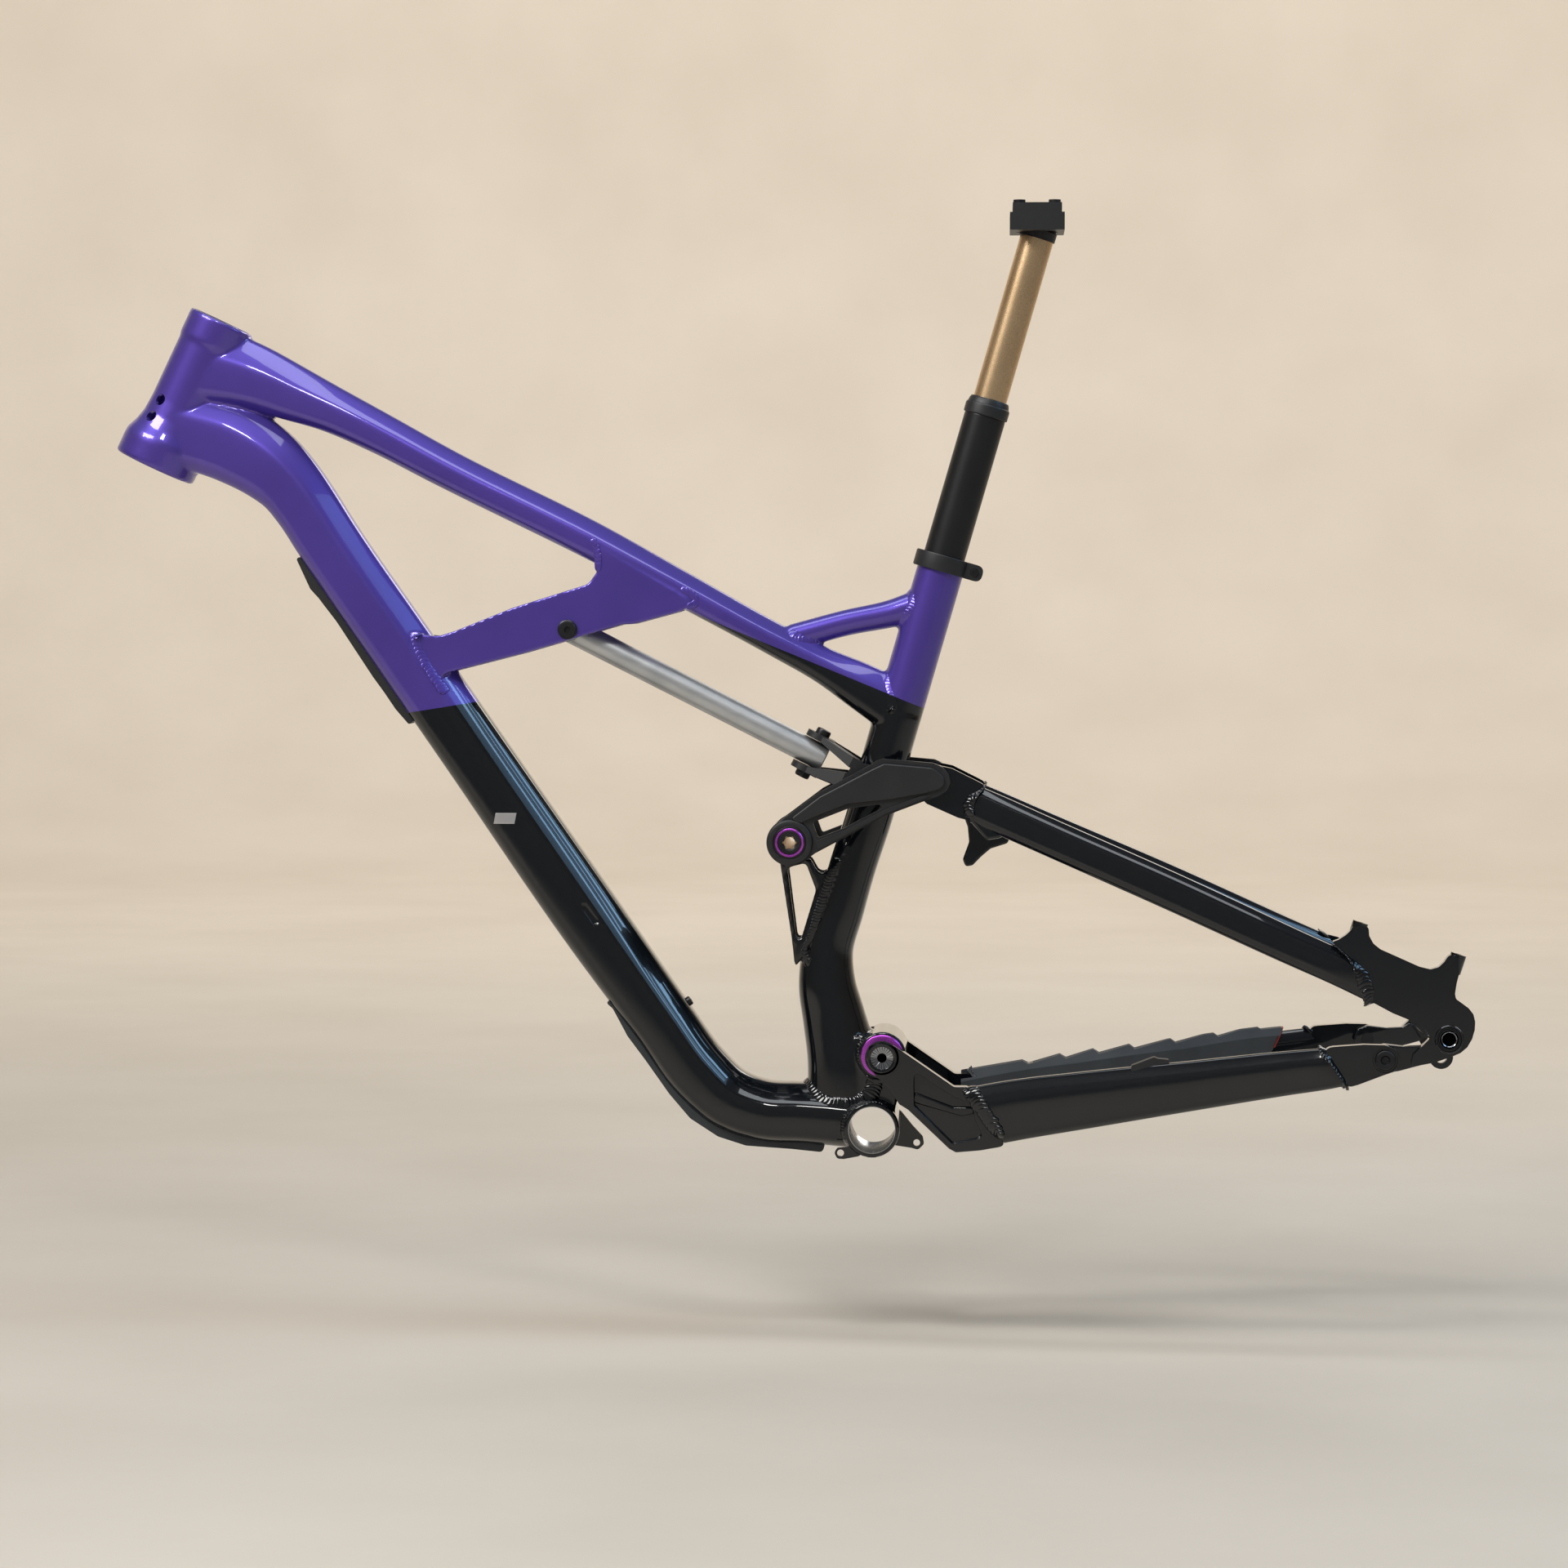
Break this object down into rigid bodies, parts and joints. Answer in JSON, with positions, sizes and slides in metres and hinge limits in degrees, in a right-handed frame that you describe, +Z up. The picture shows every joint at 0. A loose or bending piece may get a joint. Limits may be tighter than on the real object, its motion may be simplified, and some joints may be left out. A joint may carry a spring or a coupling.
{
  "type": "full-suspension bicycle frame",
  "caption": "Full-suspension mountain bike frame with a four-bar rear end, a rigid strut in place of the shock and a telescopic seatpost.",
  "frame": {"origin": "centre of the bottom bracket shell", "axes": "+X rearward, +Y to the right side of the bike, +Z up with the frame level as it rides"},
  "size_m": [1.0003, 0.1784, 0.7061],
  "materials": {
    "purple_paint": "glossy candy purple with clear coat",
    "black_paint": "gloss black with clear coat",
    "satin_black": "satin black",
    "guard_rubber": "matt moulded rubber",
    "cover_plastic": "matt moulded plastic",
    "bare_aluminium": "brushed bare aluminium",
    "gold_anodised": "satin gold-brown anodising",
    "purple_anodised": "satin magenta-purple anodising",
    "bearing_steel": "machined steel",
    "dark_metal": "dark oxide bolt finish"
  },
  "bodies": {
    "front_frame": {"head_tube": "purple_paint", "top_tube": "purple_paint", "down_tube": "purple_paint", "seat_tube_upper": "purple_paint", "seat_tube_lower": "black_paint", "seat_tube_brace": "purple_paint", "gusset_left": "purple_paint", "gusset_right": "purple_paint", "gusset_web": "purple_paint", "bb_shell": "black_paint", "chainguide_tabs": "black_paint", "main_pivot_housing": "black_paint", "rocker_bracket": "black_paint", "seat_collar": "satin_black", "collar_bolt": "dark_metal", "seatpost_outer": "satin_black", "seatpost_seal_head": "satin_black", "cable_cover": "cover_plastic", "rock_guard": "guard_rubber", "frame_screws": "dark_metal", "strut_bolt": "dark_metal", "strut_spacers": "bare_aluminium", "rocker_axle": "bearing_steel", "rocker_rings": "purple_anodised", "main_bearings": "bearing_steel"},
    "chainstay": {"chainstay_yoke": "black_paint", "chainstay_left": "black_paint", "chainstay_right": "black_paint", "chainstay_end_left": "black_paint", "chainstay_end_right": "black_paint", "chainstay_guard": "guard_rubber", "cable_clip": "guard_rubber", "main_axle": "bearing_steel", "main_rings": "purple_anodised", "main_caps": "black_paint", "horst_bearings": "bearing_steel"},
    "seatstay": {"seatstay_left": "black_paint", "seatstay_right": "black_paint", "seatstay_head_left": "black_paint", "seatstay_head_right": "black_paint", "seatstay_bridge": "black_paint", "dropout_left": "black_paint", "dropout_right": "black_paint", "derailleur_hanger": "dark_metal", "axle_inserts": "dark_metal", "horst_bolts": "dark_metal"},
    "rocker": {"rocker_left": "satin_black", "rocker_right": "satin_black", "rocker_bearings": "bearing_steel", "upper_bolts": "dark_metal"},
    "yoke": {"shock_yoke": "satin_black", "yoke_bolts": "dark_metal"},
    "strut": {"strut_tube": "bare_aluminium", "strut_plug": "bare_aluminium"},
    "stanchion": {"stanchion": "gold_anodised", "clamp_base": "satin_black", "clamp_cap": "satin_black", "clamp_bolts": "dark_metal"}
  },
  "joints": [
    {"name": "main_pivot", "type": "hinge", "parent": "front_frame", "child": "chainstay", "pos_m": [0.0078, 0, 0.055], "axis": [0, -1, 0], "range_deg": [-7, 13]},
    {"name": "horst_pivot", "type": "hinge", "parent": "chainstay", "child": "seatstay", "pos_m": [0.3714, 0, 0.0585], "axis": [0, -1, 0], "range_deg": [-6.73, 3.63]},
    {"name": "rocker_pivot", "type": "hinge", "parent": "front_frame", "child": "rocker", "pos_m": [-0.0602, 0, 0.2122], "axis": [0, -1, 0], "range_deg": [-14.27, 26.48]},
    {"name": "yoke_pivot", "type": "hinge", "parent": "rocker", "child": "yoke", "pos_m": [0.044, 0, 0.256], "axis": [0, -1, 0], "range_deg": [-20.31, 10.95]},
    {"name": "strut_slide", "type": "slide", "parent": "yoke", "child": "strut", "axis": [0.8918, 0, -0.4524], "range_m": [-0.02154, 0.03993]},
    {"name": "stanchion_slide", "type": "slide", "parent": "front_frame", "child": "stanchion", "axis": [0.279, 0, 0.9603], "range_m": [-0.12, 0]}
  ],
  "couplings": [
    {"joint": "horst_pivot", "follows": "main_pivot", "ratio": -0.5163},
    {"joint": "rocker_pivot", "follows": "main_pivot", "ratio": 2.0353},
    {"joint": "yoke_pivot", "follows": "main_pivot", "ratio": -1.561},
    {"joint": "strut_slide", "follows": "main_pivot", "m_per_rad": 0.17553}
  ]
}
